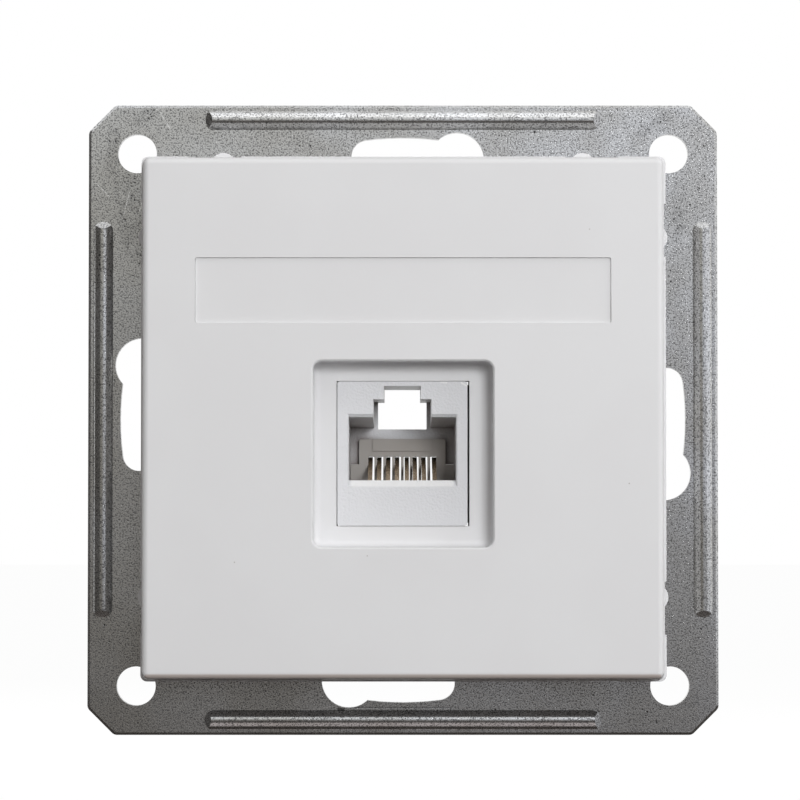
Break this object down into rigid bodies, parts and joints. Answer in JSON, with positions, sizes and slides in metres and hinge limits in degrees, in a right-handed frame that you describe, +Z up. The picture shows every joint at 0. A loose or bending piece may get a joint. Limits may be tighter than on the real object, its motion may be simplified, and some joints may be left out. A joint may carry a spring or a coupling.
{
  "type": "ethernet wall socket",
  "caption": "Square data wall socket: steel mounting plate with corner screw holes and keyhole slots, clip-on plastic cover with a label window, and a recessed modular network jack.",
  "frame": {"origin": "the middle of the four corner screw holes, on the mounting plate's rear face, which lies on the wall", "axes": "-Y out of the wall towards the viewer, +Z up with the label window above the port, +X to the viewer's right"},
  "size_m": [0.071, 0.0361, 0.071],
  "materials": {
    "plate_steel": "dull galvanised",
    "cover_plastic": "fine satin",
    "label_plastic": "fine satin",
    "holder_plastic": "satin",
    "screw_steel": "zinc plated",
    "jack_plastic": "fine matt",
    "carrier_plastic": "satin",
    "contact_gold": "thin gold plating",
    "board_laminate": "satin",
    "terminal_tin": "bright tinned"
  },
  "bodies": {
    "root": {"mounting_plate": "plate_steel", "cover": "cover_plastic", "label_window": "label_plastic", "module_holder": "holder_plastic", "holder_screws": "screw_steel", "jack_housing": "jack_plastic", "contact_carrier": "carrier_plastic", "contact_1": "contact_gold", "contact_2": "contact_gold", "contact_3": "contact_gold", "contact_4": "contact_gold", "contact_5": "contact_gold", "contact_6": "contact_gold", "contact_7": "contact_gold", "contact_8": "contact_gold", "circuit_board": "board_laminate", "idc_block": "jack_plastic", "idc_terminal_1": "terminal_tin", "idc_terminal_2": "terminal_tin", "idc_terminal_3": "terminal_tin", "idc_terminal_4": "terminal_tin", "idc_terminal_5": "terminal_tin", "idc_terminal_6": "terminal_tin", "idc_terminal_7": "terminal_tin", "idc_terminal_8": "terminal_tin"}
  },
  "joints": []
}
